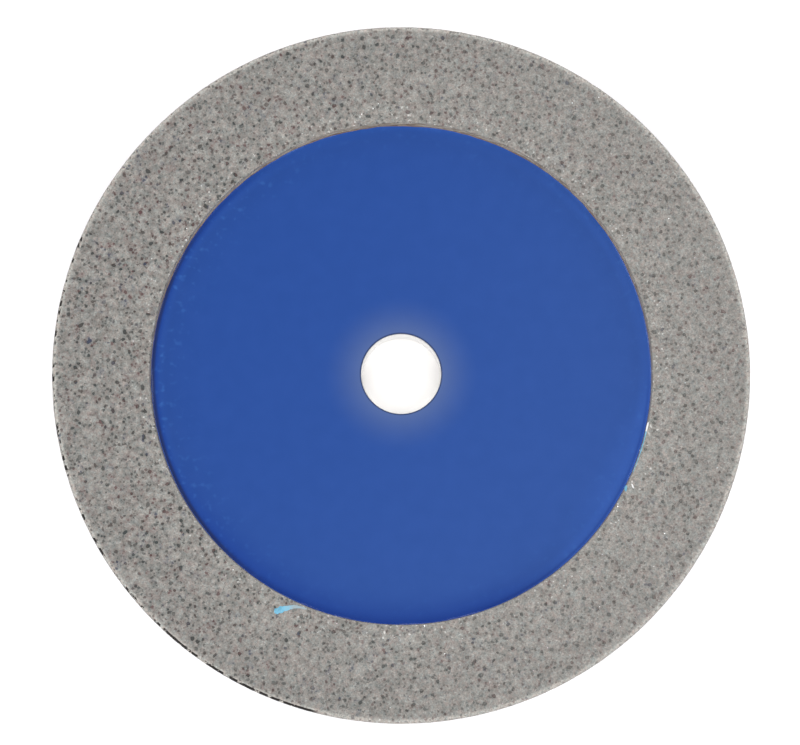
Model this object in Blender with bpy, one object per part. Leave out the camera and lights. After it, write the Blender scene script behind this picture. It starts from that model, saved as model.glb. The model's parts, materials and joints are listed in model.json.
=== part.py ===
"""A face-grinding diamond wheel: a turned metal core with an enamelled front, and a diamond ring bonded to it.

The wheel lies on its back. Its axis is +Z through the origin, and the back seating face is the plane Z = 0.
Every piece is turned about that axis.
"""

import math

import bmesh
import bpy

MM = 0.001

# Driving dimensions of the wheel.
WHEEL_DIAMETER = 175 * MM
RIM_WIDTH = 24.5 * MM
BORE_DIAMETER = 20 * MM
WHEEL_THICKNESS = 20 * MM
RECESS_DEPTH = 5 * MM
ABRASIVE_DEPTH = 6 * MM
BACKING_DEPTH = 4 * MM

# Clearance between bonded neighbours, and the coats and films that lie between them.
FIT_GAP = 0.3 * MM
ENAMEL_THICKNESS = 0.4 * MM
BOND_THICKNESS = 0.4 * MM

# Edge breaks, the relief turned into the back, and the adhesive bead.
OUTER_BEVEL = 1.0 * MM
INNER_BEVEL = 0.2 * MM
CORE_BEVEL = 0.8 * MM
BORE_BEVEL = 0.5 * MM
ENAMEL_EDGE = 0.15 * MM
MENISCUS_WIDTH = 1.2 * MM
MENISCUS_HEIGHT = 0.15 * MM
SEAT_LAND_RADIUS = 30 * MM
RIM_LAND_WIDTH = 10 * MM
RELIEF_DEPTH = 1.0 * MM
BEAD_SIZE = 1.0 * MM
BEAD_HOLLOW = 0.45

# Derived radii.
WHEEL_RADIUS = WHEEL_DIAMETER / 2
RECESS_RADIUS = WHEEL_RADIUS - RIM_WIDTH
BORE_RADIUS = BORE_DIAMETER / 2
SLEEVE_OUTER = RECESS_RADIUS - FIT_GAP
SLEEVE_INNER = SLEEVE_OUTER - BOND_THICKNESS
REGISTER_RADIUS = SLEEVE_INNER - FIT_GAP
RIM_COAT_INNER = WHEEL_RADIUS - ENAMEL_THICKNESS
CORE_RADIUS = RIM_COAT_INNER - FIT_GAP
RIM_LAND_RADIUS = CORE_RADIUS - RIM_LAND_WIDTH

# Derived heights, from the working face down to the core's flange.
ABRASIVE_BASE = WHEEL_THICKNESS - ABRASIVE_DEPTH
BACKING_TOP = ABRASIVE_BASE - FIT_GAP
BACKING_BASE = BACKING_TOP - BACKING_DEPTH
BOND_TOP = BACKING_BASE - FIT_GAP
BOND_BASE = BOND_TOP - BOND_THICKNESS
FLANGE_TOP = BOND_BASE - FIT_GAP
RECESS_FLOOR = WHEEL_THICKNESS - RECESS_DEPTH
ENAMEL_BASE = RECESS_FLOOR - ENAMEL_THICKNESS
REGISTER_TOP = ENAMEL_BASE - FIT_GAP

TURN_STEPS = 144
SHARP_ANGLE = math.radians(30)
MERGE_DISTANCE = 0.00001


def clear_scene():
    """Removes every object of the scene that the script starts in."""
    for old in list(bpy.data.objects):
        bpy.data.objects.remove(old, do_unlink=True)


def finish(name, colour, roughness, metallic):
    """A Principled material of one colour."""
    material = bpy.data.materials.new(name)
    material.use_nodes = True
    shader = material.node_tree.nodes["Principled BSDF"]
    shader.inputs["Base Color"].default_value = (*colour, 1)
    shader.inputs["Roughness"].default_value = roughness
    shader.inputs["Metallic"].default_value = metallic
    return material


def turned(name, profile, material):
    """A solid of revolution about Z. The profile is its closed outline as (radius, height) points."""
    shape = bmesh.new()
    corners = [shape.verts.new((radius, 0, height)) for radius, height in profile]
    outline = [
        shape.edges.new((start, end))
        for start, end in zip(corners, corners[1:] + corners[:1], strict=True)
    ]
    bmesh.ops.spin(
        shape,
        geom=outline,
        cent=(0, 0, 0),
        axis=(0, 0, 1),
        angle=math.tau,
        steps=TURN_STEPS,
        use_merge=True,
    )
    bmesh.ops.remove_doubles(shape, verts=shape.verts[:], dist=MERGE_DISTANCE)
    bmesh.ops.recalc_face_normals(shape, faces=shape.faces[:])
    mesh = bpy.data.meshes.new(name)
    shape.to_mesh(mesh)
    shape.free()
    mesh.shade_smooth()
    mesh.set_sharp_from_angle(angle=SHARP_ANGLE)
    mesh.materials.append(material)
    piece = bpy.data.objects.new(name, mesh)
    bpy.context.scene.collection.objects.link(piece)
    return piece


def core_body(material):
    """The metal core: flange, register that centres the rings, bore, and a relieved back with two lands."""
    return turned(
        "core_body",
        [
            (BORE_RADIUS + BORE_BEVEL, 0),
            (SEAT_LAND_RADIUS, 0),
            (SEAT_LAND_RADIUS + RELIEF_DEPTH, RELIEF_DEPTH),
            (RIM_LAND_RADIUS - RELIEF_DEPTH, RELIEF_DEPTH),
            (RIM_LAND_RADIUS, 0),
            (CORE_RADIUS - CORE_BEVEL, 0),
            (CORE_RADIUS, CORE_BEVEL),
            (CORE_RADIUS, FLANGE_TOP),
            (REGISTER_RADIUS, FLANGE_TOP),
            (REGISTER_RADIUS, REGISTER_TOP),
            (BORE_RADIUS + BORE_BEVEL, REGISTER_TOP),
            (BORE_RADIUS, REGISTER_TOP - BORE_BEVEL),
            (BORE_RADIUS, BORE_BEVEL),
        ],
        material,
    )


def face_enamel(material):
    """The blue coat on the core's front face: level from the bore's bevel out, and drawn up a little at the wall."""
    inner = BORE_RADIUS + BORE_BEVEL
    return turned(
        "face_enamel",
        [
            (inner, ENAMEL_BASE),
            (SLEEVE_OUTER, ENAMEL_BASE),
            (SLEEVE_OUTER, RECESS_FLOOR + MENISCUS_HEIGHT),
            (SLEEVE_OUTER - MENISCUS_WIDTH, RECESS_FLOOR),
            (inner + ENAMEL_EDGE, RECESS_FLOOR),
            (inner, RECESS_FLOOR - ENAMEL_EDGE),
        ],
        material,
    )


def rim_enamel(material):
    """The same coat around the core's outer rim, above the bottom bevel."""
    return turned(
        "rim_enamel",
        [
            (RIM_COAT_INNER, CORE_BEVEL),
            (WHEEL_RADIUS - ENAMEL_EDGE, CORE_BEVEL),
            (WHEEL_RADIUS, CORE_BEVEL + ENAMEL_EDGE),
            (WHEEL_RADIUS, FLANGE_TOP),
            (RIM_COAT_INNER, FLANGE_TOP),
        ],
        material,
    )


def bond_film(material):
    """The epoxy between core and rings: a flat film on the flange and a sleeve around the register."""
    outer = WHEEL_RADIUS - FIT_GAP
    return turned(
        "bond_film",
        [
            (SLEEVE_INNER, BOND_BASE),
            (outer, BOND_BASE),
            (outer, BOND_TOP),
            (SLEEVE_OUTER, BOND_TOP),
            (SLEEVE_OUTER, REGISTER_TOP),
            (SLEEVE_INNER, REGISTER_TOP),
        ],
        material,
    )


def backing_ring(material):
    """The dark ring without diamond that carries the working layer."""
    return turned(
        "backing_ring",
        [
            (RECESS_RADIUS, BACKING_BASE),
            (WHEEL_RADIUS, BACKING_BASE),
            (WHEEL_RADIUS, BACKING_TOP),
            (RECESS_RADIUS, BACKING_TOP),
        ],
        material,
    )


def abrasive_ring(material):
    """The diamond ring, with a wide bevel at its outer edge and a small one at its inner edge."""
    return turned(
        "abrasive_ring",
        [
            (RECESS_RADIUS, ABRASIVE_BASE),
            (WHEEL_RADIUS, ABRASIVE_BASE),
            (WHEEL_RADIUS, WHEEL_THICKNESS - OUTER_BEVEL),
            (WHEEL_RADIUS - OUTER_BEVEL, WHEEL_THICKNESS),
            (RECESS_RADIUS + INNER_BEVEL, WHEEL_THICKNESS),
            (RECESS_RADIUS, WHEEL_THICKNESS - INNER_BEVEL),
        ],
        material,
    )


def corner_bead(material):
    """The bead of adhesive in the corner between the enamelled face and the ring's inner wall."""
    base = RECESS_FLOOR + MENISCUS_HEIGHT + FIT_GAP
    hollow = BEAD_SIZE * BEAD_HOLLOW
    return turned(
        "corner_bead",
        [
            (SLEEVE_OUTER - BEAD_SIZE, base),
            (SLEEVE_OUTER, base),
            (SLEEVE_OUTER, base + BEAD_SIZE),
            (SLEEVE_OUTER - hollow, base + hollow),
        ],
        material,
    )


def build_wheel():
    """Makes every piece of the wheel in its place."""
    metal = finish("turned_aluminium", (0.66, 0.67, 0.68), 0.35, 1.0)
    blue = finish("blue_enamel", (0.03, 0.09, 0.34), 0.25, 0.0)
    adhesive = finish("brown_adhesive", (0.25, 0.17, 0.1), 0.4, 0.0)
    dark_ceramic = finish("dark_backing", (0.035, 0.03, 0.028), 0.85, 0.0)
    diamond_bond = finish("diamond_bond", (0.3, 0.28, 0.26), 0.9, 0.0)
    core_body(metal)
    face_enamel(blue)
    rim_enamel(blue)
    bond_film(adhesive)
    backing_ring(dark_ceramic)
    abrasive_ring(diamond_bond)
    corner_bead(adhesive)


clear_scene()
build_wheel()
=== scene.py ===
"""Looks of a face-grinding diamond wheel: a porous grey diamond ring around a sunken blue enamelled core."""

import functools
import json
import math
import random

import bmesh
import bpy
from mathutils import Euler, Matrix, Vector, noise
from mathutils.geometry import delaunay_2d_cdt


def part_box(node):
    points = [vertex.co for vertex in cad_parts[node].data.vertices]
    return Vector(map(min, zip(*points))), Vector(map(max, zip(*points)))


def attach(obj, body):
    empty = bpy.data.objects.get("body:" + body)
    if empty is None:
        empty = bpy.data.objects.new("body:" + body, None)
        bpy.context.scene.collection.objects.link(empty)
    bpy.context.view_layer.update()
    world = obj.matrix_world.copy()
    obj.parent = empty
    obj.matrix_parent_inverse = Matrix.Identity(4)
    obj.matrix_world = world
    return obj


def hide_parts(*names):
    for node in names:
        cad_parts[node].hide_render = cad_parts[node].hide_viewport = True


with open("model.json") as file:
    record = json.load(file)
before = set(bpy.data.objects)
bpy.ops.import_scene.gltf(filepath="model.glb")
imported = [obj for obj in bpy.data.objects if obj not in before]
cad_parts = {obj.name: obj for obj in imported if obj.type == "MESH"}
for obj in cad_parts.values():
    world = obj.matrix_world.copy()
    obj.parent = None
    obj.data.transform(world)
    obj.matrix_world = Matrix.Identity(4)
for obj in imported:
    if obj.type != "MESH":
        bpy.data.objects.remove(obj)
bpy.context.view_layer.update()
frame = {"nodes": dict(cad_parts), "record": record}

MM = 0.001


def inner_radius(node):
    """The smallest distance from the wheel's axis to a corner of a CAD node."""
    return min(math.hypot(v.co.x, v.co.y) for v in frame["nodes"][node].data.vertices)


def outer_radius(node):
    """The largest distance from the wheel's axis to a corner of a CAD node."""
    return max(math.hypot(v.co.x, v.co.y) for v in frame["nodes"][node].data.vertices)


def base_of(node):
    """The height of a CAD node's lowest point."""
    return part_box(node)[0].z


def top_of(node):
    """The height of a CAD node's highest point."""
    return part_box(node)[1].z


# Places that come from the frame. Bonded neighbours meet halfway across the gap between their solids.
WHEEL_RADIUS = outer_radius("abrasive_ring")
RECESS_RADIUS = inner_radius("abrasive_ring")
BORE_RADIUS = inner_radius("core_body")
FACE_HEIGHT = top_of("abrasive_ring")
RECESS_FLOOR = next(m["pos_m"][2] for m in frame["record"]["mounts"] if m["name"] == "front_flange_seat")
HALF_GAP = (base_of("bond_film") - top_of("rim_enamel")) / 2
RING_JOINT = base_of("abrasive_ring") - HALF_GAP
BACKING_JOINT = base_of("backing_ring") - HALF_GAP
FLANGE_JOINT = base_of("bond_film") - HALF_GAP
REGISTER_RADIUS = inner_radius("bond_film") - HALF_GAP
REGISTER_TOP = base_of("face_enamel")
COAT_BASE = base_of("rim_enamel")
CORE_RADIUS = outer_radius("core_body")

# What the frame's boxes don't say about the core: its bevels and the relief turned into its back.
CORE_BEVEL = 0.8 * MM
BORE_BEVEL = 0.5 * MM
SEAT_LAND_RADIUS = 30 * MM
RIM_LAND_RADIUS = CORE_RADIUS - 10 * MM
RELIEF_DEPTH = 1.0 * MM

# The diamond ring's edges and grains.
OUTER_BEVEL = 1.0 * MM
INNER_BEVEL = 0.15 * MM
FOOT_BEVEL = 0.12 * MM
GRAIN_SPACING = 1.2 * MM
GRAIN_HEIGHT = 0.012 * MM
EDGE_CHIP = 0.06 * MM

# Its pores, which are pits in its skin.
PIT_SPACING = 1.28 * MM
PIT_RADIUS = 0.285 * MM
PIT_SPREAD = 0.4
PIT_RADIUS_RANGE = (0.15 * MM, 0.58 * MM)
PIT_STRETCH = 0.8
LARGE_PIT = 0.36 * MM
PIT_RAGGED = (0.62, 1.15)
PIT_CLUSTER = 4 * MM
PIT_TWINS = 0.55
PIT_MOST_TWINS = 3
PIT_OVERLAP = 0.35
PIT_CORNERS = 8
SMALL_PIT_CORNERS = 6
PIT_DEPTH_SHARE = 0.42
PIT_CLEARANCE = 0.01 * MM
PIT_FLOOR_SHARE = 0.65
PIT_RIM_SHADE = 0.4
LARGE_PIT_SHADE = 0.6

# The diamond crystals, most of them in a band beside the recess.
CRYSTALS_PER_AREA = 0.1 / MM**2
CRYSTAL_RADIUS = 0.16 * MM
CRYSTAL_SUNK_SHARE = 0.35
CRYSTAL_BAND = 5.5 * MM
CRYSTAL_SHARE_OUTSIDE = 0.2

# Where the marks of use and of painting lie, and where light and shade are painted into colours, as angles
# from +X about the wheel's axis or as directions across it.
DARK_SIDE = math.radians(176)
# Where the recess wall is clean of stain and carries painted light.
CLEAN_LIT_SIDE = math.radians(165)
# Near side, where painted light and a painted blue reflection lie on the recess wall.
BLUE_LIT_SIDE = math.radians(-75)
# Side of the painted shadow streaks on the outer bevel, and how far round they spread.
EDGE_SHADOW_SIDE = math.radians(206)
EDGE_SHADOW_SPREAD = math.radians(51)
# Side of the painted shadow line beside the recess wall.
SHADOW_LINE_SIDE = math.radians(188)
# Side of the painted shade line inside the blue's edge.
EDGE_SHADE_SIDE = math.radians(326)
# Way towards the painted shade low in the recess.
SHADED_WAY = (-0.25, -0.97, 0)
# Direction in which the blue's painted sheen grows.
SHEEN_WAY = (0.85, -0.5, 0)
# Way towards the painted highlight near the recess wall.
BRIGHT_WAY = (0.89, -0.46, 0)
# Reach of the painted glow around the bore.
GLOW_RADIUS = 20 * MM

# How finely pieces are turned, and the seam that keeps bonded neighbours apart.
ROUND_STEPS = 256
FINE_STEPS = 720
SEAM = 0.015 * MM
SHARP_ANGLE = math.radians(32)


# ---------------------------------------------------------------- node helpers


def add(tree, kind, inputs=None, **settings):
    """A shader node with its settings and inputs. An input given as a socket is linked."""
    made = tree.nodes.new(kind)
    for key, value in settings.items():
        setattr(made, key, value)
    for key, value in (inputs or {}).items():
        if isinstance(value, bpy.types.NodeSocket):
            tree.links.new(value, made.inputs[key])
        else:
            made.inputs[key].default_value = value
    return made


def mix(tree, factor, first, second, blend_type="MIX"):
    """The colour between first and second. A colour that isn't a socket is (red, green, blue)."""
    first, second = (c if isinstance(c, bpy.types.NodeSocket) else (*c, 1) for c in (first, second))
    inputs = {0: factor, 6: first, 7: second}
    return add(tree, "ShaderNodeMix", inputs, data_type="RGBA", blend_type=blend_type).outputs[2]


def tint(tree, base, colour, factor=1.0):
    """base multiplied by a colour."""
    return mix(tree, factor, base, colour, "MULTIPLY")


def calc(tree, operation, first, second):
    """The result of one sum."""
    return add(tree, "ShaderNodeMath", {0: first, 1: second}, operation=operation).outputs[0]


def times(tree, *values):
    """The product of two or more values."""
    return functools.reduce(lambda first, second: calc(tree, "MULTIPLY", first, second), values)


def span(tree, value, low, high, to_low=0.0, to_high=1.0):
    """value carried smoothly from the range low-high to the range to_low-to_high."""
    inputs = {0: value, 1: low, 2: high, 3: to_low, 4: to_high}
    return add(tree, "ShaderNodeMapRange", inputs, interpolation_type="SMOOTHSTEP").outputs[0]


def growth(tree, value, low, high, power):
    """0 at low and 1 at high, and a power of the way along between them."""
    along = add(tree, "ShaderNodeMapRange", {0: value, 1: low, 2: high}).outputs[0]
    return calc(tree, "POWER", along, power)


def place(tree):
    """Where a shaded point lies, in metres in the row's frame."""
    return add(tree, "ShaderNodeTexCoord").outputs["Object"]


def scaled(tree, point, factors):
    """A point with each coordinate multiplied by its own factor."""
    return add(tree, "ShaderNodeVectorMath", {0: point, 1: factors}, operation="MULTIPLY").outputs[0]


def flattened(tree, point):
    """A point brought down to height 0."""
    return scaled(tree, point, (1, 1, 0))


def from_axis(tree, point):
    """The distance of a point from the wheel's axis."""
    return add(tree, "ShaderNodeVectorMath", {0: flattened(tree, point)}, operation="LENGTH").outputs[1]


def from_wall(tree, point):
    """How far a point lies beyond the recess's wall: less than 0 in the recess."""
    return calc(tree, "SUBTRACT", from_axis(tree, point), RECESS_RADIUS)


def heading(tree, point):
    """The direction of a point from the wheel's axis, of length 1."""
    return add(tree, "ShaderNodeVectorMath", {0: flattened(tree, point)}, operation="NORMALIZE").outputs[0]


def along(tree, point, way):
    """How far a point lies along a direction."""
    return add(tree, "ShaderNodeVectorMath", {0: point, 1: way}, operation="DOT_PRODUCT").outputs[1]


def toward(tree, point, angle):
    """How squarely a point lies to one side of the axis: 1 at the given angle, -1 opposite it."""
    return along(tree, heading(tree, point), (math.cos(angle), math.sin(angle), 0))


def coordinate(tree, point, axis):
    """One coordinate of a point: X is 0, Y is 1 and the height is 2."""
    return add(tree, "ShaderNodeSeparateXYZ", {0: point}).outputs[axis]


def height_of(tree, point):
    """The height of a point."""
    return coordinate(tree, point, 2)


def clouds(tree, point, size, detail=2.0, roughness=0.5):
    """Soft noise from 0 to 1 with features of about the given size in metres."""
    return add(
        tree,
        "ShaderNodeTexNoise",
        {"Vector": point, "Scale": 1 / size, "Detail": detail, "Roughness": roughness},
    ).outputs["Fac"]


def cells(tree, point, size):
    """Random cells of about the given size: the distance from the nearest middle, and its three chances."""
    cell = add(tree, "ShaderNodeTexVoronoi", {"Vector": point, "Scale": 1 / size})
    return cell.outputs["Distance"], add(tree, "ShaderNodeSeparateColor", {0: cell.outputs["Color"]}).outputs


def ramp(tree, value, stops):
    """A colour read from stops of (position, colour)."""
    made = add(tree, "ShaderNodeValToRGB", {0: value})
    band = made.color_ramp.elements
    while len(band) < len(stops):
        band.new(1.0)
    for element, (position, colour) in zip(band, stops, strict=True):
        element.position = position
        element.color = (*colour, 1)
    return made.outputs[0]


def greys(tree, value, *stops):
    """A grey read from stops of (position, brightness)."""
    return ramp(tree, value, [(position, (shade,) * 3) for position, shade in stops])


def bumps(tree, height, depth, strength=1.0, normal=None):
    """A normal from a height of 0 to 1 that stands for depth in metres."""
    inputs = {"Height": height, "Distance": depth, "Strength": strength}
    if normal is not None:
        inputs["Normal"] = normal
    return add(tree, "ShaderNodeBump", inputs).outputs[0]


def new_material(name):
    """A material with a Principled shader: the material, its tree and the shader's inputs."""
    material = bpy.data.materials.new(name)
    material.use_nodes = True
    tree = material.node_tree
    return material, tree, tree.nodes["Principled BSDF"].inputs


# ---------------------------------------------------------------- materials


def specks(tree, point, size, strength):
    """Scattered ragged dots in cells of the given size: their strength, from 0 to strength."""
    distance, chances = cells(tree, point, size)
    reach = span(tree, chances[2], 0.1, 1.0, 0.02, 0.37)
    ragged = times(tree, calc(tree, "SUBTRACT", clouds(tree, point, 0.35 * MM), 0.5), 0.8)
    within = calc(tree, "SUBTRACT", reach, calc(tree, "ADD", distance, ragged))
    return span(tree, within, -0.04, 0.07, 0.0, strength)


def bond_grains(tree, point, fine):
    """The bond's mixed grey grains: their colour, and the distance from the middle of each."""
    base = mix(tree, clouds(tree, point, 9 * MM), (0.177, 0.168, 0.158), (0.187, 0.179, 0.17))
    distance, chances = cells(tree, point, 0.42 * MM)
    base = mix(tree, 0.66, base, ramp(tree, chances[0], [
        (0.0, (0.1, 0.095, 0.09)),
        (0.2, (0.15, 0.143, 0.134)),
        (0.7, (0.198, 0.191, 0.181)),
        (1.0, (0.262, 0.254, 0.242)),
    ]))
    base = mix(tree, 0.35, base, ramp(tree, chances[1], [
        (0.0, (0.145, 0.17, 0.172)),
        (0.45, (0.178, 0.171, 0.16)),
        (0.75, (0.188, 0.172, 0.155)),
        (1.0, (0.21, 0.158, 0.146)),
    ]))
    near_wall = span(tree, from_wall(tree, point), CRYSTAL_BAND, 0.5 * CRYSTAL_BAND)
    rarity = span(tree, near_wall, 0.0, 1.0, 0.99, 0.965)
    pale = span(tree, calc(tree, "SUBTRACT", chances[2], rarity), 0.0, 0.02)
    base = mix(tree, pale, base, (0.33, 0.325, 0.315))
    base = tint(tree, base, ramp(tree, clouds(tree, point, 2.2 * MM), [
        (0.3, (0.965, 1.0, 1.005)),
        (0.5, (1.0, 1.0, 1.0)),
        (0.7, (1.025, 0.992, 0.985)),
    ]))
    across = span(tree, from_axis(tree, point), RECESS_RADIUS, WHEEL_RADIUS)
    base = tint(tree, base, ramp(tree, across, [
        (0.0, (1.12, 1.12, 1.11)),
        (0.6, (1.042, 1.042, 1.034)),
    ]))
    base = tint(tree, base, greys(tree, fine, (0.3, 0.76), (0.7, 1.22)))
    mottle = clouds(tree, point, 0.7 * MM)
    base = tint(tree, base, greys(tree, mottle, (0.32, 0.86), (0.5, 1.0), (0.7, 1.06)))
    return base, distance


def with_pores(tree, point, base):
    """base with dark pits, finer specks between them and a dull strip beside the recess."""
    _, chances = cells(tree, point, 1.5 * MM)
    pore_colour = ramp(tree, chances[0], [
        (0.0, (0.034, 0.04, 0.04)),
        (0.45, (0.042, 0.042, 0.04)),
        (0.65, (0.054, 0.044, 0.04)),
        (0.8, (0.075, 0.04, 0.04)),
        (0.9, (0.051, 0.042, 0.04)),
        (1.0, (0.034, 0.04, 0.06)),
    ])
    strip = span(tree, from_wall(tree, point), 1.5 * MM, 0.4 * MM, 0.0, 0.11)
    dark = span(tree, toward(tree, point, DARK_SIDE), -1.0, 1.0, 0.6, 1.0)
    coarse = times(tree, specks(tree, point, 1.05 * MM, 0.8), dark)
    small = times(tree, specks(tree, point, 0.66 * MM, 0.62), dark)
    pit = add(tree, "ShaderNodeAttribute", attribute_name="pore").outputs["Fac"]
    for strength in (strip, coarse, small, pit):
        base = mix(tree, strength, base, pore_colour)
    return base


def with_wall_marks(tree, point, base):
    """base with the recess wall's brown stains, cleaner stretches, painted light that lifts the wall's shade
    on the near side and the clean side, and a painted blue reflection low on the near side.
    """
    height = height_of(tree, point)
    wall = times(
        tree,
        span(tree, from_wall(tree, point), 0.9 * INNER_BEVEL, 0.2 * INNER_BEVEL),
        span(tree, height, FACE_HEIGHT - INNER_BEVEL, FACE_HEIGHT - 3 * INNER_BEVEL),
    )
    drawn_out = scaled(tree, point, (0.35, 0.35, 1))
    stain = ramp(tree, clouds(tree, drawn_out, 0.9 * MM, detail=3.0), [
        (0.34, (0.2, 0.135, 0.085)),
        (0.47, (0.36, 0.295, 0.215)),
        (0.55, (0.45, 0.395, 0.305)),
        (0.7, (0.51, 0.47, 0.395)),
    ])
    clean_and_lit = span(tree, toward(tree, point, CLEAN_LIT_SIDE), 0.5, 0.8)
    clean_and_lit = times(tree, clean_and_lit, span(tree, height, FACE_HEIGHT - 3.4 * MM, FACE_HEIGHT - 1.8 * MM))
    far = span(tree, coordinate(tree, point, 1), -0.3 * RECESS_RADIUS, 0.75 * RECESS_RADIUS, 0.15, 0.85)
    stained = times(tree, wall, far, calc(tree, "SUBTRACT", 1.0, clean_and_lit))
    base = mix(tree, stained, base, stain)
    # Painted light: the wall is lightened on the near side and where it is clean, to undo its shade.
    near = span(tree, toward(tree, point, BLUE_LIT_SIDE), -0.1, 0.5)
    bright = calc(tree, "MAXIMUM", times(tree, clean_and_lit, 0.8), times(tree, near, 0.5))
    base = tint(tree, base, (1.9, 1.88, 1.85), times(tree, wall, bright))
    # Painted reflection: the blue face's light tints the foot of the wall on the near side.
    blue_reflection = span(tree, height, RECESS_FLOOR + 2.2 * MM, RECESS_FLOOR, 0.0, 0.75)
    return mix(tree, times(tree, near, wall, blue_reflection), base, (0.035, 0.1, 0.38))


def edge_shadow_streaks(tree, point):
    """Painted shadow in broken dark streaks along the outer bevel, on one side: its strength, from 0 to 1."""
    side = toward(tree, point, EDGE_SHADOW_SIDE)
    side = span(tree, side, math.cos(EDGE_SHADOW_SPREAD), math.cos(0.96 * EDGE_SHADOW_SPREAD))
    drawn_out = scaled(tree, point, (0.45, 0.45, 0))
    streak = clouds(tree, drawn_out, 1.0 * MM, detail=3.0, roughness=0.6)
    thicker = span(tree, coordinate(tree, heading(tree, point), 1), -0.65, -0.9, 0.0, 0.1)
    streak = span(tree, calc(tree, "ADD", streak, thicker), 0.52, 0.55)
    below_face = calc(tree, "SUBTRACT", FACE_HEIGHT, height_of(tree, point))
    top = span(tree, below_face, 0.11 * OUTER_BEVEL, 0.17 * OUTER_BEVEL)
    ragged = times(tree, clouds(tree, point, 0.8 * MM, detail=3.0), OUTER_BEVEL)
    foot = span(tree, calc(tree, "SUBTRACT", below_face, ragged), 1.1 * OUTER_BEVEL, 0.1 * OUTER_BEVEL)
    from_rim = calc(tree, "SUBTRACT", WHEEL_RADIUS, from_axis(tree, point))
    outer = span(tree, from_rim, 1.5 * OUTER_BEVEL, 1.1 * OUTER_BEVEL)
    return times(tree, streak, side, outer, top, foot)


def diamond_bond_material():
    """Grey vitrified bond: fine mixed grains, dark pores, a paler ground bevel with a painted highlight, a
    stained inner wall with painted light and a painted blue reflection, and painted shadow streaks along the
    outer bevel.
    """
    material, tree, shader = new_material("diamond_bond")
    point = place(tree)
    fine = clouds(tree, point, 0.3 * MM, detail=3.0)
    base, grain = bond_grains(tree, point, fine)
    base = with_pores(tree, point, base)
    from_rim = calc(tree, "SUBTRACT", WHEEL_RADIUS, from_axis(tree, point))
    # A paler ground bevel and a painted highlight: the outer bevel is lightened beyond its own colour so that
    # it looks lit.
    bevel = span(tree, from_rim, 1.4 * OUTER_BEVEL, 0.6 * OUTER_BEVEL)
    base = tint(tree, base, (1.5, 1.5, 1.49), bevel)
    base = with_wall_marks(tree, point, base)
    # Painted shadow: near-black broken streaks on the outer bevel, on the lower left.
    base = mix(tree, edge_shadow_streaks(tree, point), base, (0.008, 0.007, 0.006))
    tree.links.new(base, shader["Base Color"])
    shader["Specular IOR Level"].default_value = 0.25
    tree.links.new(span(tree, fine, 0.2, 0.8, 0.75, 0.95), shader["Roughness"])
    relief = bumps(tree, fine, 0.035 * MM)
    relief = bumps(tree, grain, 0.04 * MM, 0.6, relief)
    tree.links.new(relief, shader["Normal"])
    return material


def crystal_material():
    """Diamond crystals: clear to smoky, with bright facets."""
    material, tree, shader = new_material("diamond_crystal")
    _, chances = cells(tree, place(tree), 1.1 * MM)
    colour = ramp(tree, chances[0], [
        (0.0, (0.2, 0.2, 0.2)),
        (0.55, (0.3, 0.295, 0.29)),
        (0.72, (0.45, 0.35, 0.39)),
        (0.82, (0.33, 0.46, 0.48)),
        (0.9, (0.9, 0.9, 0.9)),
    ])
    tree.links.new(colour, shader["Base Color"])
    tree.links.new(span(tree, chances[1], 0.0, 1.0, 0.05, 0.2), shader["Roughness"])
    shader["IOR"].default_value = 2.4
    return material


def enamel_border(tree, point, base):
    """base with what differs near the recess's wall: paint flecks, painted light that lifts the wall's shade,
    painted shade low and to the left, a painted shadow line, a painted highlight to the lower right and a
    painted shade line inside the edge.
    """
    gap = from_wall(tree, point)
    recessed = span(tree, gap, 1.0 * MM, 0.5 * MM)
    fleck = span(tree, clouds(tree, point, 1.7 * MM, detail=1.0), 0.56, 0.8)
    fleck_band = span(tree, gap, -0.2 * RECESS_RADIUS, 0.0)
    fleck_side = span(tree, toward(tree, point, DARK_SIDE), 0.3, 0.8, 0.06, 0.22)
    base = mix(tree, times(tree, fleck, fleck_band, fleck_side, recessed), base, (0.05, 0.17, 0.45))
    # Painted light: the blue is lifted towards the recess wall to undo the shade that falls beside it.
    thin = growth(tree, gap, -4 * MM, 0.0, 1.8)
    base = tint(tree, base, (1.62, 1.62, 1.62), times(tree, thin, recessed))
    # Painted shade: the blue darkens towards the wall on the low side and on the left, where the wall's
    # shadow falls.
    low_side = span(tree, along(tree, point, SHADED_WAY), 0.5 * RECESS_RADIUS, 0.85 * RECESS_RADIUS)
    low_shade = times(tree, growth(tree, gap, -12 * MM, 0.0, 3.0), 0.8, low_side)
    left_side = span(tree, coordinate(tree, point, 0), -0.4 * RECESS_RADIUS, -0.8 * RECESS_RADIUS)
    left_shade = times(tree, span(tree, gap, -2.4 * MM, -0.7 * MM, 0.0, 0.55), left_side)
    painted_shade = times(tree, calc(tree, "MAXIMUM", low_shade, left_shade), recessed)
    base = mix(tree, painted_shade, base, (0.0005, 0.022, 0.185))
    # Painted shadow: a dark line close to the wall on the left.
    shadow_line_side = span(tree, toward(tree, point, SHADOW_LINE_SIDE), 0.6, 0.92, 0.0, 0.75)
    corner = times(tree, shadow_line_side, span(tree, gap, -1.3 * MM, -0.5 * MM), recessed)
    base = mix(tree, corner, base, (0.012, 0.017, 0.055))
    # Painted highlight: the blue is lighter near the wall towards the lower right.
    bright = span(tree, along(tree, point, BRIGHT_WAY), 0.84 * RECESS_RADIUS, 0.97 * RECESS_RADIUS)
    base = tint(tree, base, (1.18, 1.18, 1.18), times(tree, bright, recessed))
    # Painted shade: a darker line just inside the edge of the blue, to the lower right.
    edge_shade_side = span(tree, toward(tree, point, EDGE_SHADE_SIDE), 0.78, 0.93)
    outward = span(tree, gap, -1.2 * MM, -0.65 * MM)
    edge_shade = times(tree, outward, span(tree, gap, -0.1 * MM, -0.6 * MM), edge_shade_side)
    return tint(tree, base, (0.72, 0.77, 0.86), edge_shade)


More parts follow.
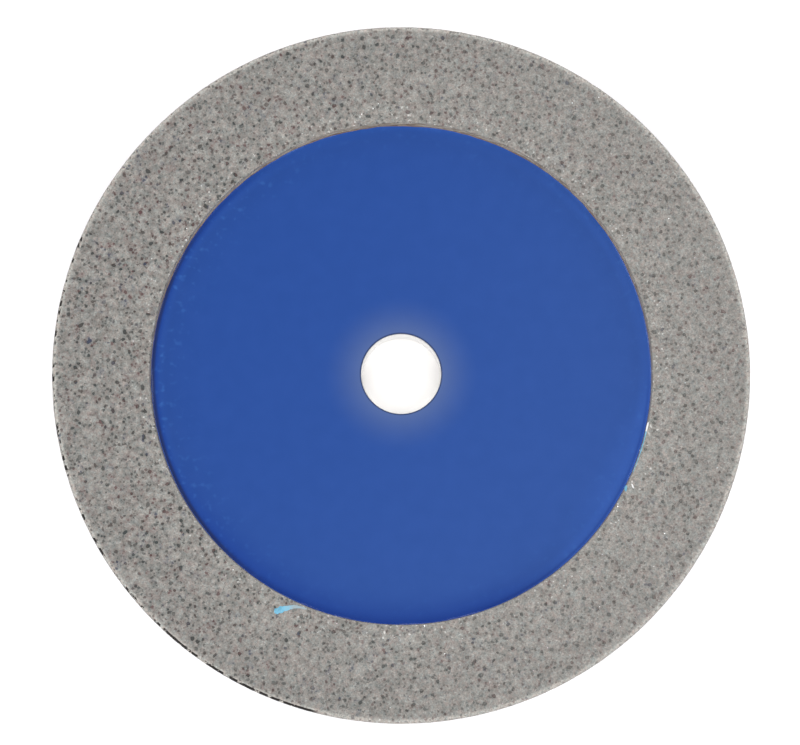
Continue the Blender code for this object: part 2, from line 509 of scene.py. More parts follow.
def enamel_material():
    """Deep blue gloss enamel with faint orange peel, a painted sheen paler towards the lower right, and a
    painted glow: a pale haze around the bore where the clamping flange sits.
    """
    material, tree, shader = new_material("blue_enamel")
    point = place(tree)
    radius = from_axis(tree, point)
    # Painted sheen: the blue is paler towards the lower right, as if lit from there.
    painted_sheen = span(tree, along(tree, point, SHEEN_WAY), -RECESS_RADIUS, RECESS_RADIUS)
    base = mix(tree, painted_sheen, (0.0098, 0.0408, 0.184), (0.0155, 0.0485, 0.192))
    mottle = clouds(tree, point, 4 * MM, detail=4.0)
    base = tint(tree, base, greys(tree, mottle, (0.3, 0.98), (0.7, 1.02)))
    # Painted glow: the blue turns to a pale grey haze towards the bore.
    worn = times(tree, growth(tree, radius, GLOW_RADIUS, BORE_RADIUS, 1.7), 0.16)
    base = mix(tree, worn, base, (0.24, 0.27, 0.23))
    base = enamel_border(tree, point, base)
    # Painted shade: a dark ring where the enamel rolls over into the bore.
    bore_edge_shade = span(tree, radius, BORE_RADIUS + 0.55 * MM, BORE_RADIUS + 0.3 * MM, 0.0, 0.7)
    base = mix(tree, bore_edge_shade, base, (0.004, 0.012, 0.05))
    tree.links.new(base, shader["Base Color"])
    tree.links.new(span(tree, mottle, 0.3, 0.7, 0.14, 0.18), shader["Roughness"])
    shader["Specular IOR Level"].default_value = 0.12
    tree.links.new(bumps(tree, clouds(tree, point, 1.6 * MM, detail=1.0), 0.008 * MM), shader["Normal"])
    return material


def adhesive_material():
    """Cured brown epoxy, lighter where it is thin. Enamel has run over it on the near side of the recess, in
    a blue lightened by painted light against the corner's shade.
    """
    material, tree, shader = new_material("adhesive")
    point = place(tree)
    tone = clouds(tree, point, 2.2 * MM, detail=3.0)
    colour = ramp(tree, tone, [
        (0.2, (0.1, 0.055, 0.03)),
        (0.55, (0.22, 0.14, 0.085)),
        (0.8, (0.36, 0.27, 0.19)),
    ])
    # Blue enamel over the bead on the near side, lighter than the face's blue: painted light that undoes the
    # shade in the corner.
    near = span(tree, coordinate(tree, point, 1), 0.5 * RECESS_RADIUS, -0.1 * RECESS_RADIUS, 0.0, 0.95)
    recessed = span(tree, from_wall(tree, point), 1.0 * MM, 0.2 * MM)
    colour = mix(tree, times(tree, near, recessed), colour, (0.028, 0.075, 0.3))
    tree.links.new(colour, shader["Base Color"])
    tree.links.new(span(tree, tone, 0.2, 0.8, 0.28, 0.5), shader["Roughness"])
    tree.links.new(bumps(tree, clouds(tree, point, 0.6 * MM), 0.03 * MM), shader["Normal"])
    return material


def backing_material():
    """Dark fired backing: nearly black, matt, with fine brown and grey grains."""
    material, tree, shader = new_material("dark_backing")
    point = place(tree)
    distance, chances = cells(tree, point, 0.4 * MM)
    colour = ramp(tree, chances[0], [
        (0.0, (0.018, 0.016, 0.015)),
        (0.7, (0.035, 0.03, 0.026)),
        (0.92, (0.06, 0.045, 0.035)),
        (1.0, (0.13, 0.12, 0.11)),
    ])
    colour = tint(tree, colour, greys(tree, clouds(tree, point, 6 * MM), (0.3, 0.8), (0.7, 1.3)))
    tree.links.new(colour, shader["Base Color"])
    tree.links.new(span(tree, chances[1], 0.0, 1.0, 0.65, 0.9), shader["Roughness"])
    tree.links.new(bumps(tree, distance, 0.05 * MM), shader["Normal"])
    return material


def metal_material():
    """Turned aluminium: concentric tool marks, a few stains."""
    material, tree, shader = new_material("core_metal")
    point = place(tree)
    track = {0: from_axis(tree, point), 2: height_of(tree, point)}
    track = add(tree, "ShaderNodeCombineXYZ", track).outputs[0]
    marks = clouds(tree, track, 0.25 * MM, detail=3.0)
    stain = clouds(tree, point, 16 * MM, detail=4.0)
    colour = mix(tree, marks, (0.74, 0.745, 0.75), (0.87, 0.87, 0.87))
    passes = clouds(tree, track, 2.5 * MM, detail=3.0)
    colour = tint(tree, colour, greys(tree, passes, (0.3, 0.86), (0.7, 1.0)))
    colour = mix(tree, span(tree, stain, 0.45, 0.75, 0.0, 0.22), colour, (0.4, 0.39, 0.37))
    tree.links.new(colour, shader["Base Color"])
    shader["Metallic"].default_value = 1.0
    tree.links.new(span(tree, stain, 0.3, 0.8, 0.28, 0.45), shader["Roughness"])
    tree.links.new(bumps(tree, marks, 0.012 * MM), shader["Normal"])
    return material


def paint_material():
    """Light blue paint: streaky, thin at the ends of a smear."""
    material, tree, shader = new_material("light_blue_paint")
    film = add(tree, "ShaderNodeAttribute", attribute_name="film").outputs["Fac"]
    tone = clouds(tree, place(tree), 0.7 * MM)
    cover = calc(tree, "ADD", times(tree, tone, 0.3), times(tree, film, 0.5))
    colour = ramp(tree, cover, [
        (0.08, (0.19, 0.2, 0.2)),
        (0.3, (0.17, 0.225, 0.25)),
        (0.5, (0.13, 0.27, 0.35)),
        (0.65, (0.09, 0.285, 0.41)),
        (0.78, (0.045, 0.19, 0.28)),
        # White, at the top of the ramp, serves the chip and the bright end of the painted glint.
        (1.0, (0.5, 0.5, 0.5)),
    ])
    tree.links.new(colour, shader["Base Color"])
    tree.links.new(span(tree, tone, 0.3, 0.7, 0.4, 0.6), shader["Roughness"])
    tree.links.new(bumps(tree, tone, 0.03 * MM), shader["Normal"])
    return material


def floor_material():
    """Plain pale studio floor."""
    material, tree, shader = new_material("floor")
    tone = clouds(tree, place(tree), 150 * MM)
    tree.links.new(mix(tree, tone, (0.93, 0.91, 0.89), (0.95, 0.93, 0.91)), shader["Base Color"])
    shader["Roughness"].default_value = 0.9
    shader["Specular IOR Level"].default_value = 0.1
    return material


# ---------------------------------------------------------------- mesh helpers


def new_piece(name, mesh, material, slot, *nodes):
    """Puts a mesh into the scene as a piece that rides on the wheel and stands for the given CAD nodes."""
    mesh.materials.append(material)
    piece = bpy.data.objects.new(name, mesh)
    bpy.context.scene.collection.objects.link(piece)
    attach(piece, "root")
    if nodes:
        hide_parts(*nodes)
    return piece


def soften(corners, segments=3):
    """A closed outline of (radius, height) points, from corners of (radius, height, rounding)."""
    outline = []
    for index, (x, y, rounding) in enumerate(corners):
        here = Vector((x, y))
        if not rounding:
            outline.append((x, y))
            continue
        before = (Vector(corners[index - 1][:2]) - here).normalized()
        after = (Vector(corners[(index + 1) % len(corners)][:2]) - here).normalized()
        half = before.angle(after) / 2
        reach = rounding / math.tan(half)
        centre = here + (before + after).normalized() * (rounding / math.sin(half))
        start = here + before * reach - centre
        end = here + after * reach - centre
        turn = start.angle(end)
        for step in range(segments + 1):
            share = step / segments
            arm = (start * math.sin((1 - share) * turn) + end * math.sin(share * turn)) / math.sin(turn)
            outline.append(tuple(centre + arm))
    return outline


def ripple(angle, waves, seed):
    """Smooth noise of about -1 to 1 around the wheel, with about the given number of waves."""
    reach = waves / math.tau
    return noise.noise(Vector((reach * math.cos(angle), reach * math.sin(angle), seed)))


def close_up(mesh):
    """Turns a closed mesh's faces outward and shades it smooth between its sharp edges."""
    shape = bmesh.new()
    shape.from_mesh(mesh)
    bmesh.ops.recalc_face_normals(shape, faces=shape.faces[:])
    shape.to_mesh(mesh)
    shape.free()
    mesh.shade_smooth()
    mesh.set_sharp_from_angle(angle=SHARP_ANGLE)
    return mesh


def turned_mesh(name, outline, warp=None, steps=ROUND_STEPS):
    """A closed outline turned about the wheel's axis. warp(angle, radius, height) may move each point."""
    count = len(outline)
    points = []
    faces = []
    for turn in range(steps):
        angle = math.tau * turn / steps
        following = (turn + 1) % steps
        for index, (radius, height) in enumerate(outline):
            if warp:
                radius, height = warp(angle, radius, height)
            points.append((radius * math.cos(angle), radius * math.sin(angle), height))
            beside = (index + 1) % count
            faces.append((
                turn * count + index,
                turn * count + beside,
                following * count + beside,
                following * count + index,
            ))
    mesh = bpy.data.meshes.new(name)
    mesh.from_pydata(points, [], faces)
    return close_up(mesh)


def turned_piece(name, outline, material, slot, node, warp=None, steps=ROUND_STEPS):
    """A piece turned about the wheel's axis that stands for one CAD node."""
    new_piece(name, turned_mesh(name, outline, warp, steps), material, slot, node)


# ---------------------------------------------------------------- the diamond ring


RING_OUTLINE = [
    (RECESS_RADIUS, RING_JOINT),
    (RECESS_RADIUS, FACE_HEIGHT - INNER_BEVEL),
    (RECESS_RADIUS + INNER_BEVEL, FACE_HEIGHT),
    (WHEEL_RADIUS - OUTER_BEVEL, FACE_HEIGHT),
    (WHEEL_RADIUS - 0.3 * OUTER_BEVEL, FACE_HEIGHT - 0.3 * OUTER_BEVEL),
    (WHEEL_RADIUS, FACE_HEIGHT - OUTER_BEVEL),
    (WHEEL_RADIUS, RING_JOINT + FOOT_BEVEL),
    (WHEEL_RADIUS - FOOT_BEVEL, RING_JOINT),
]
FACE_START = 2


def unrolled(outline):
    """The distance from the axis of each corner of the outline, with the ring's skin laid flat."""
    lengths = [math.dist(a, b) for a, b in zip(outline, outline[1:])]
    start = outline[FACE_START][0] - sum(lengths[:FACE_START])
    return [start + sum(lengths[:index]) for index in range(len(outline))]


RING_STATIONS = unrolled(RING_OUTLINE)


def on_ring(flat, depth):
    """The place in the ring's skin, sunk by depth, of a point of the flattened skin."""
    station = flat.length
    leg = 0
    while leg < len(RING_STATIONS) - 2 and station > RING_STATIONS[leg + 1]:
        leg += 1
    start = Vector(RING_OUTLINE[leg])
    along = Vector(RING_OUTLINE[leg + 1]) - start
    share = (station - RING_STATIONS[leg]) / (RING_STATIONS[leg + 1] - RING_STATIONS[leg])
    inward = Vector((along.y, -along.x)).normalized()
    radius, height = start + along * share + inward * depth
    out = flat.normalized()
    return Vector((out.x * radius, out.y * radius, height))


def spot_on_skin(rng):
    """A random point of the flattened skin, evenly spread over its area."""
    low, high = RING_STATIONS[0], RING_STATIONS[-1]
    station = math.sqrt(rng.uniform(low**2, high**2))
    angle = rng.uniform(0, math.tau)
    return Vector((station * math.cos(angle), station * math.sin(angle)))


def jittered_spots(rng, spacing, jitter):
    """Points over the flattened skin on rings about spacing apart, each moved by up to jitter spacings."""
    spots = []
    station = RING_STATIONS[0] + spacing / 2
    while station < RING_STATIONS[-1]:
        steps = round(math.tau * station / spacing)
        start = rng.random()
        for step in range(steps):
            reach = station + rng.uniform(-jitter, jitter) * spacing
            angle = math.tau * (start + step + rng.uniform(-jitter, jitter)) / steps
            spots.append(Vector((reach * math.cos(angle), reach * math.sin(angle))))
        station += spacing
    rng.shuffle(spots)
    return spots


def skin_area():
    """The area of the flattened skin."""
    return math.pi * (RING_STATIONS[-1] ** 2 - RING_STATIONS[0] ** 2)


def edge_distance(flat):
    """How far a point of the flattened skin is from the nearest edge of the ring."""
    return min(abs(flat.length - station) for station in RING_STATIONS)


class Crowd:
    """Round spots that have been placed, sorted into squares so that near ones are found fast."""

    def __init__(self, cell):
        self.cell = cell
        self.squares = {}

    def key(self, flat):
        return (math.floor(flat.x / self.cell), math.floor(flat.y / self.cell))

    def add(self, flat, radius):
        self.squares.setdefault(self.key(flat), []).append((flat, radius))

    def room(self, flat, radius):
        """True if a spot of that radius would be clear of every other."""
        column, row = self.key(flat)
        for i in (column - 1, column, column + 1):
            for j in (row - 1, row, row + 1):
                for other, reach in self.squares.get((i, j), ()):
                    if (flat - other).length < radius + reach:
                        return False
        return True


def pit_places(rng):
    """The centre, radius, stretch and turn of each pore in the ring's skin."""
    crowd = Crowd(2 * PIT_RADIUS_RANGE[1] * (1 + PIT_STRETCH))
    pits = []
    low, high = PIT_RADIUS_RANGE
    for flat in jittered_spots(rng, PIT_SPACING, 0.5):
        if rng.random() > 0.85 + 0.2 * noise.noise(Vector((flat.x, flat.y, 0)) / PIT_CLUSTER):
            continue
        last = 0.0
        for twin in range(PIT_MOST_TWINS):
            radius = min(max(PIT_RADIUS * math.exp(rng.gauss(0, PIT_SPREAD)), low), high)
            stretch = 1 + PIT_STRETCH * rng.random() ** 2
            reach = radius * stretch * PIT_RAGGED[1]
            clear = reach + PIT_CLEARANCE
            if twin:
                clear -= PIT_OVERLAP * reach
                angle = rng.uniform(0, math.tau)
                flat = flat + Vector((math.cos(angle), math.sin(angle))) * (last + 1.02 * clear)
            if edge_distance(flat) < reach + PIT_CLEARANCE or not crowd.room(flat, clear):
                break
            crowd.add(flat, reach)
            pits.append((flat, radius, stretch, rng.uniform(0, math.pi)))
            last = reach
            if rng.random() > PIT_TWINS:
                break
    return pits, crowd


def ring_mesh():
    """The ring's skin, with each pore as a real pit, closed underneath."""
    rng = random.Random(11)
    points, depths, pores, edges = [], [], [], []

    def add_loop(loop, depth, pore):
        first = len(points)
        points.extend(loop)
        depths.extend([depth] * len(loop))
        pores.extend([pore] * len(loop))
        count = len(loop)
        edges.extend((first + i, first + (i + 1) % count) for i in range(count))

    for station in RING_STATIONS:
        first = len(points)
        circle = [math.tau * step / FINE_STEPS for step in range(FINE_STEPS)]
        add_loop([Vector((station * math.cos(a), station * math.sin(a))) for a in circle], 0, 0)
        for step in range(FINE_STEPS):
            depths[first + step] = EDGE_CHIP * max(0.0, rng.gauss(0, 0.5))
    pits, crowd = pit_places(rng)
    for flat, radius, stretch, turn in pits:
        large = radius > LARGE_PIT
        corners = PIT_CORNERS if large else SMALL_PIT_CORNERS
        across = Vector((math.cos(turn), math.sin(turn)))
        beside = Vector((-across.y, across.x))
        rim, floor = [], []
        for corner in range(corners):
            angle = math.tau * corner / corners
            reach = radius * rng.uniform(*PIT_RAGGED)
            arm = across * (math.cos(angle) * reach * stretch) + beside * (math.sin(angle) * reach)
            rim.append(flat + arm)
            floor.append(flat + arm * PIT_FLOOR_SHARE)
        depth = radius * PIT_DEPTH_SHARE * rng.uniform(0.7, 1.2)
        shade = rng.uniform(0.6, 1.2) * (0.76 + 0.24 * math.cos(math.atan2(flat.y, flat.x) - DARK_SIDE))
        if large:
            shade = max(shade, LARGE_PIT_SHADE)
        add_loop(rim, 0, PIT_RIM_SHADE * shade)
        if large:
            add_loop(floor, depth, shade)
        else:
            points.append(flat)
            depths.append(depth)
            pores.append(shade)
    for flat in jittered_spots(rng, GRAIN_SPACING, 0.4):
        if edge_distance(flat) > 0.3 * GRAIN_SPACING and crowd.room(flat, PIT_CLEARANCE):
            points.append(flat)
            depths.append(rng.uniform(-1, 1) * GRAIN_HEIGHT)
            pores.append(0)
    in_mm = [p / MM for p in points]
    flat_points, _, faces, origins, _, _ = delaunay_2d_cdt(in_mm, edges, [], 0, 1e-6)
    placed, shades = [], []
    for flat, origin in zip(flat_points, origins, strict=True):
        source = origin[0] if origin else None
        depth = depths[source] if source is not None else 0
        placed.append(on_ring(Vector(flat) * MM, depth))
        shades.append(pores[source] if source is not None else 0)
    inner = {i for i, origin in enumerate(origins) if origin and origin[0] < FINE_STEPS}
    faces = [face for face in faces if not all(corner in inner for corner in face)]
    slot_of = {origin[0]: i for i, origin in enumerate(origins) if origin}
    last = (len(RING_STATIONS) - 1) * FINE_STEPS
    for step in range(FINE_STEPS):
        beside = (step + 1) % FINE_STEPS
        faces.append([slot_of[step], slot_of[beside], slot_of[last + beside], slot_of[last + step]])
    mesh = bpy.data.meshes.new("diamond_ring")
    mesh.from_pydata(placed, [], faces)
    shade = mesh.attributes.new("pore", "FLOAT", "POINT")
    shade.data.foreach_set("value", shades)
    return close_up(mesh), crowd


def crystal_shape():
    """The corners and faces of a cuboctahedron, the habit of diamond grit, with corners 1 from its middle."""
    shape = bmesh.new()
    for axis in range(3):
        for first in (-1, 1):
            for second in (-1, 1):
                corner = [0, 0, 0]
                corner[axis - 1] = first
                corner[axis - 2] = second
                shape.verts.new(Vector(corner).normalized())
    bmesh.ops.convex_hull(shape, input=shape.verts[:])
    shape.verts.index_update()
    corners = [v.co.copy() for v in shape.verts]
    faces = [[v.index for v in face.verts] for face in shape.faces]
    shape.free()
    return corners, faces


def crystals_mesh(crowd):
    """Diamond crystals set in the ring's skin, each turned its own way, clear of the pores."""
    rng = random.Random(23)
    corners, sides = crystal_shape()
    points, faces = [], []
    for _ in range(round(skin_area() * CRYSTALS_PER_AREA)):
        flat = spot_on_skin(rng)
        radius = CRYSTAL_RADIUS * rng.uniform(0.7, 1.4)
        turn = Euler([rng.uniform(0, math.tau) for _ in range(3)])
        squash = Vector([rng.uniform(0.75, 1.0) for _ in range(3)])
        in_band = flat.length < RECESS_RADIUS + CRYSTAL_BAND
        if not in_band and rng.random() > CRYSTAL_SHARE_OUTSIDE:
            continue
        if edge_distance(flat) < radius or not crowd.room(flat, radius):
            continue
        crowd.add(flat, radius)
        centre = on_ring(flat, radius * CRYSTAL_SUNK_SHARE)
        first = len(points)
        for corner in corners:
            arm = corner * squash * radius
            arm.rotate(turn)
            points.append(centre + arm)
        faces.extend([first + index for index in side] for side in sides)
    mesh = bpy.data.meshes.new("diamond_crystals")
    mesh.from_pydata(points, [], faces)
    return mesh


def diamond_ring():
    """The working layer: the porous ring and the crystals in it."""
    mesh, crowd = ring_mesh()
    new_piece("diamond_ring", mesh, diamond_bond_material(), "diamond_bond", "abrasive_ring")
    new_piece("diamond_crystals", crystals_mesh(crowd), crystal_material(), "diamond_bond")


# ---------------------------------------------------------------- core, coats and adhesive


def core():
    """The turned metal core, with a relieved back and softened edges."""
    outline = soften([
        (BORE_RADIUS + BORE_BEVEL, 0, 0.08 * MM),
        (SEAT_LAND_RADIUS, 0, 0.15 * MM),
        (SEAT_LAND_RADIUS + RELIEF_DEPTH, RELIEF_DEPTH, 0.3 * MM),
        (RIM_LAND_RADIUS - RELIEF_DEPTH, RELIEF_DEPTH, 0.3 * MM),
        (RIM_LAND_RADIUS, 0, 0.15 * MM),
        (CORE_RADIUS - CORE_BEVEL, 0, 0.2 * MM),
        (CORE_RADIUS, CORE_BEVEL, 0.2 * MM),
        (CORE_RADIUS, FLANGE_JOINT - SEAM, 0),
        (REGISTER_RADIUS - SEAM, FLANGE_JOINT - SEAM, 0),
        (REGISTER_RADIUS - SEAM, REGISTER_TOP - SEAM, 0),
        (BORE_RADIUS + BORE_BEVEL, REGISTER_TOP - SEAM, 0.08 * MM),
        (BORE_RADIUS, REGISTER_TOP - BORE_BEVEL, 0.08 * MM),
        (BORE_RADIUS, BORE_BEVEL, 0.08 * MM),
    ])
    turned_piece("turned_core", outline, metal_material(), "core_metal", "core_body")


def blue_face(material):
    """The enamel on the sunken face: nearly level, drawn up a little at the wall, rolled over at the bore."""
    reach = RECESS_RADIUS - SEAM
    climb = 0.1 * MM
    inner = BORE_RADIUS + 0.12 * MM
    roll = 0.22 * MM
    first = inner + 1.3 * roll
    last = reach - 1.0 * MM
    level = [(first + (last - first) * step / 14, RECESS_FLOOR) for step in range(15)]
    level[1:1] = [(first + 0.1 * MM, RECESS_FLOOR), (first + 0.4 * MM, RECESS_FLOOR)]
    meniscus = [
        (reach - 0.7 * MM, RECESS_FLOOR + 0.03 * climb),
        (reach - 0.4 * MM, RECESS_FLOOR + 0.22 * climb),
        (reach - 0.17 * MM, RECESS_FLOOR + 0.55 * climb),
        (reach, RECESS_FLOOR + climb),
    ]
    bore_roll = [
        (inner, REGISTER_TOP - 0.5 * MM),
        (inner, RECESS_FLOOR - roll),
        (inner + 0.13 * roll, RECESS_FLOOR - 0.5 * roll),
        (inner + 0.5 * roll, RECESS_FLOOR - 0.13 * roll),
    ]
    under = [
        (reach, REGISTER_TOP),
        (inner + BORE_BEVEL, REGISTER_TOP),
    ]
    outline = bore_roll + level + meniscus + under

    def sag(angle, radius, height):
        if height < RECESS_FLOOR - SEAM:
            return radius, height
        swell = noise.noise(Vector((radius * math.cos(angle), radius * math.sin(angle), 0)) * 60)
        lift = 0.012 * MM * swell
        if radius > reach - 0.8 * MM:
            lift += 0.18 * MM * ripple(angle, 60, 3.0) * (height - RECESS_FLOOR) / climb
        return radius, height + lift

    turned_piece("blue_face", outline, material, "blue_enamel", "face_enamel", sag)


def blue_rim(material):
    """The enamel on the core's outer rim, wrapped a little over its bottom bevel."""
    skin = 0.35 * MM
    outline = soften([
        (CORE_RADIUS + SEAM, COAT_BASE - 0.1 * MM, 0.05 * MM),
        (CORE_RADIUS + skin, COAT_BASE, 0.2 * MM),
        (CORE_RADIUS + skin, FLANGE_JOINT - SEAM, 0.15 * MM),
        (CORE_RADIUS + SEAM, FLANGE_JOINT - SEAM, 0.05 * MM),
    ])

    def sag(angle, radius, height):
        if radius > CORE_RADIUS + 2 * SEAM:
            radius += 0.04 * MM * ripple(angle, 40, height * 200)
        return radius, height

    turned_piece("blue_rim", outline, material, "blue_enamel", "rim_enamel", sag)


def glue_line(material):
    """The epoxy between core and rings, squeezed out unevenly at the rim."""
    edge = WHEEL_RADIUS - 0.25 * MM
    low = FLANGE_JOINT
    high = BACKING_JOINT - SEAM
    middle = (low + high) / 2
    outline = [
        (REGISTER_RADIUS, low),
        (edge, low),
        (edge + 0.12 * MM, low + 0.12 * MM),
        (edge + 0.18 * MM, middle),
        (edge + 0.12 * MM, high - 0.12 * MM),
        (edge, high),
        (RECESS_RADIUS - SEAM, high),
        (RECESS_RADIUS - SEAM, REGISTER_TOP - SEAM),
        (REGISTER_RADIUS, REGISTER_TOP - SEAM),
    ]

    def squeeze(angle, radius, height):
        if radius > edge + SEAM:
            radius += 0.2 * MM * max(-0.6, ripple(angle, 110, 8.0) + 0.5 * ripple(angle, 300, 9.0))
        return radius, height

    turned_piece("glue_line", outline, material, "adhesive", "bond_film", squeeze, FINE_STEPS)


def glue_bead(material):
    """The uneven bead of epoxy in the corner between the blue face and the ring's inner wall."""
    reach = RECESS_RADIUS - SEAM
    base = RECESS_FLOOR + 0.02 * MM
    width = 0.14 * MM
    height = 0.3 * MM
    outline = [
        (reach, base - 0.1 * MM),
        (reach, base + height),
        (reach - 0.2 * width, base + 0.62 * height),
        (reach - 0.5 * width, base + 0.3 * height),
        (reach - width, base),
        (reach - width, base - 0.1 * MM),
    ]

    def uneven(angle, radius, level):
        swell = 1 + 0.55 * ripple(angle, 50, 5.0) + 0.5 * ripple(angle, 170, 6.0)
        return (
            reach - (reach - radius) * max(swell, 0.25),
            base + (level - base) * max(swell + 0.3 * ripple(angle, 260, 7.0), 0.25),
        )

    turned_piece("glue_bead", outline, material, "adhesive", "corner_bead", uneven, FINE_STEPS)


def dark_backing():
    """The backing ring, with slightly worn edges."""
    outline = soften([
        (RECESS_RADIUS, BACKING_JOINT, 0),
        (WHEEL_RADIUS - 0.05 * MM, BACKING_JOINT, 0.15 * MM),
        (WHEEL_RADIUS - 0.05 * MM, RING_JOINT - SEAM, 0.12 * MM),
        (RECESS_RADIUS, RING_JOINT - SEAM, 0),
    ])

    def worn(angle, radius, height):
        if radius > RECESS_RADIUS + MM:
            radius += 0.03 * MM * ripple(angle, 200, height * 900)
        return radius, height

    material = backing_material()
    turned_piece("dark_backing", outline, material, "dark_backing", "backing_ring", worn, 2 * ROUND_STEPS)


# ---------------------------------------------------------------- paint spots


def at_angle(degrees, radius, height):
    """A place given by its angle from +X about the wheel's axis."""
    angle = math.radians(degrees)
    return Vector((radius * math.cos(angle), radius * math.sin(angle), height))


def paint_run(shape, spine):
    """Adds a closed, ragged ribbon of paint to a bmesh.

    spine lists (place, half width, thickness, film) from one end to the other. The higher the film,
    the further along its ramp of colours the paint is.
    """
    film_layer = shape.verts.layers.float.get("film") or shape.verts.layers.float.new("film")
    steps = 5
    sunk = 0.02 * MM
    loops = []
    for (start, wide_a, thick_a, film_a), (end, wide_b, thick_b, film_b) in zip(spine, spine[1:]):
        beside = (end - start).cross(Vector((0, 0, 1))).normalized()
        for step in range(steps + (end is spine[-1][0])):
            share = step / steps
            spot = start.lerp(end, share)
            wide = wide_a + (wide_b - wide_a) * share
            thick = thick_a + (thick_b - thick_a) * share
            film = film_a + (film_b - film_a) * share
            samples = [Vector((spot.x, spot.y, hand)) / (0.5 * MM) for hand in (0, MM)]
            sway = [1 + 0.45 * noise.noise(sample) for sample in samples]
            section = [(-1, -sunk), (-0.9, 0.7 * thick), (0, thick), (0.9, 0.7 * thick), (1, -sunk)]
            loop = []
            for across, rise in section:
                reach = across * wide * sway[across > 0]
                vertex = shape.verts.new(spot + beside * reach + Vector((0, 0, rise)))
                vertex[film_layer] = film
                loop.append(vertex)
            loops.append(loop)
    for before, after in zip(loops, loops[1:]):
        for i in range(len(before)):
            j = (i + 1) % len(before)
            shape.faces.new((before[i], before[j], after[j], after[i]))
    shape.faces.new(reversed(loops[0]))
    shape.faces.new(loops[-1])


def paint_marks():
    """A smear of light blue paint on the ring, a painted glint of light blue and white along the ring's inner
    edge, a drip and a chip.
    """
    shape = bmesh.new()
    smear = (
        (242.25, 67.7, 0.3, 0.03, 0.9),
        (242.5, 67.3, 0.72, 0.05, 1.15),
        (243.0, 66.5, 0.78, 0.06, 1.15),
        (243.8, 65.65, 0.66, 0.06, 0.95),
        (244.7, 64.85, 0.52, 0.05, 0.7),
        (245.45, 64.25, 0.45, 0.03, 0.35),
        (246.7, 63.75, 0.34, 0.02, 0.25),
        (248.3, 63.5, 0.18, 0.02, 0.1),
    )
    # Painted highlight: a thin light blue strip, white at its first end, along the ring's inner edge to the
    # lower right, made as a ribbon of paint.
    edge_glint = (
        (-11.4, 0.16, 1.9),
        (-11.9, 0.26, 1.9),
        (-13.1, 0.24, 1.85),
        (-13.9, 0.2, 1.0),
        (-14.7, 0.13, 1.1),
        (-16.2, 0.11, 1.3),
        (-17.9, 0.15, 1.1),
        (-19.1, 0.09, 1.3),
        (-21.1, 0.11, 1.25),
        (-23.3, 0.06, 1.25),
    )
    drip = ((56.25, -28.2, 0.14), (56.15, -28.6, 0.34), (56.05, -29.3, 0.36), (56.15, -29.8, 0.12))
    chip = ((57.55, -27.85, 0.1), (57.7, -28.15, 0.2), (57.9, -28.65, 0.22), (58.1, -28.95, 0.1))
    edge = RECESS_RADIUS + 0.05 * MM
    paint_run(shape, [
        (at_angle(degrees, radius * MM, FACE_HEIGHT), wide * MM, thick * MM, film)
        for degrees, radius, wide, thick, film in smear
    ])
    paint_run(shape, [
        (at_angle(degrees, edge, FACE_HEIGHT - 0.04 * MM), wide * MM, 0.05 * MM, film)
        for degrees, wide, film in edge_glint
    ])
    paint_run(shape, [
        (Vector((x * MM, y * MM, FACE_HEIGHT - 0.06 * MM)), wide * MM, 0.1 * MM, 1.27)
        for x, y, wide in drip
    ])
    paint_run(shape, [
        (Vector((x * MM, y * MM, FACE_HEIGHT)), wide * MM, 0.07 * MM, 1.9)
        for x, y, wide in chip
    ])
    mesh = bpy.data.meshes.new("paint_marks")
    shape.to_mesh(mesh)
    shape.free()
    new_piece("paint_marks", close_up(mesh), paint_material(), "blue_enamel")


# ---------------------------------------------------------------- stage


def floor():
    """A wide plain floor under the wheel."""
    reach = 4.0
    mesh = bpy.data.meshes.new("floor")
    corners = [(-reach, -reach, 0), (reach, -reach, 0), (reach, reach, 0), (-reach, reach, 0)]
    mesh.from_pydata(corners, [], [(0, 1, 2, 3)])
    mesh.materials.append(floor_material())
    plane = bpy.data.objects.new("floor", mesh)
    plane.location.z = -0.05 * MM
    bpy.context.scene.collection.objects.link(plane)


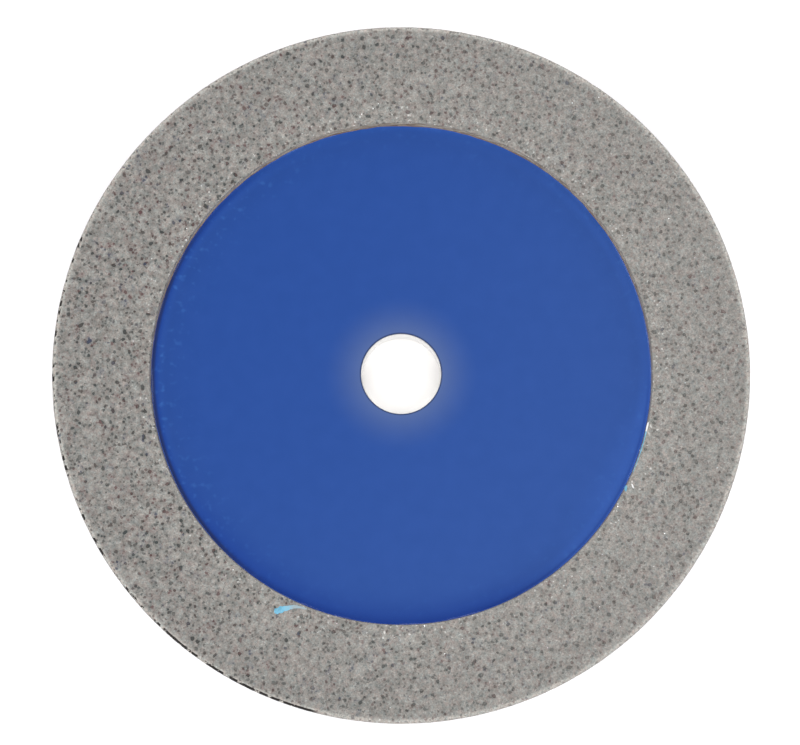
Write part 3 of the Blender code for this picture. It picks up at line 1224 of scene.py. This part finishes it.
def softbox(name, position, size, power, colour=(1, 1, 1)):
    """A square soft light at position that shines on the wheel."""
    light = bpy.data.lights.new(name, "AREA")
    light.shape = "SQUARE"
    light.size = size
    light.energy = power
    light.color = colour
    lamp = bpy.data.objects.new(name, light)
    lamp.location = position
    lamp.rotation_euler = (-Vector(position)).to_track_quat("-Z", "Y").to_euler()
    bpy.context.scene.collection.objects.link(lamp)


def lights():
    """A bright plain studio: pale surroundings and soft boxes, the strongest from the lower right."""
    world = bpy.data.worlds.new("studio")
    world.use_nodes = True
    background = world.node_tree.nodes["Background"].inputs
    background["Color"].default_value = (1.0, 1.0, 1.0, 1)
    background["Strength"].default_value = 0.97
    bpy.context.scene.world = world
    softbox("key", (0.10, -0.66, 0.75), 0.5, 2.0)
    softbox("near", (0.05, -0.42, 1.0), 0.35, 2.7)
    softbox("left", (-0.44, 0.0, 1.0), 0.35, 2.8)
    softbox("right", (0.44, 0.0, 1.0), 0.35, 2.5)
    softbox("far", (0.0, 0.56, 1.0), 0.35, 3.0)
    bpy.context.scene.view_settings.view_transform = "Standard"


def camera():
    """A long lens nearly square on, from a little below and right of the wheel's axis."""
    distance = 0.75
    spot = Vector((0.0, -0.05, FACE_HEIGHT + distance))
    aim = Vector((-0.00028, 0.0, FACE_HEIGHT))
    picture_share = 0.8739
    sensor = 36.0
    lens = bpy.data.cameras.new("camera")
    lens.sensor_width = sensor
    lens.lens = sensor * (spot - aim).length * picture_share / (2 * WHEEL_RADIUS)
    lens.clip_start = 0.01
    eye = bpy.data.objects.new("camera", lens)
    backward = (spot - aim).normalized()
    right = Vector((0, 1, 0)).cross(backward).normalized()
    up = backward.cross(right)
    eye.matrix_world = Matrix.LocRotScale(spot, Matrix((right, up, backward)).transposed(), None)
    bpy.context.scene.collection.objects.link(eye)
    bpy.context.scene.camera = eye


def build():
    """Every piece of the wheel, then the stage."""
    enamel = enamel_material()
    adhesive = adhesive_material()
    diamond_ring()
    core()
    blue_face(enamel)
    blue_rim(enamel)
    glue_line(adhesive)
    glue_bead(adhesive)
    dark_backing()
    paint_marks()
    floor()
    lights()
    camera()


build()
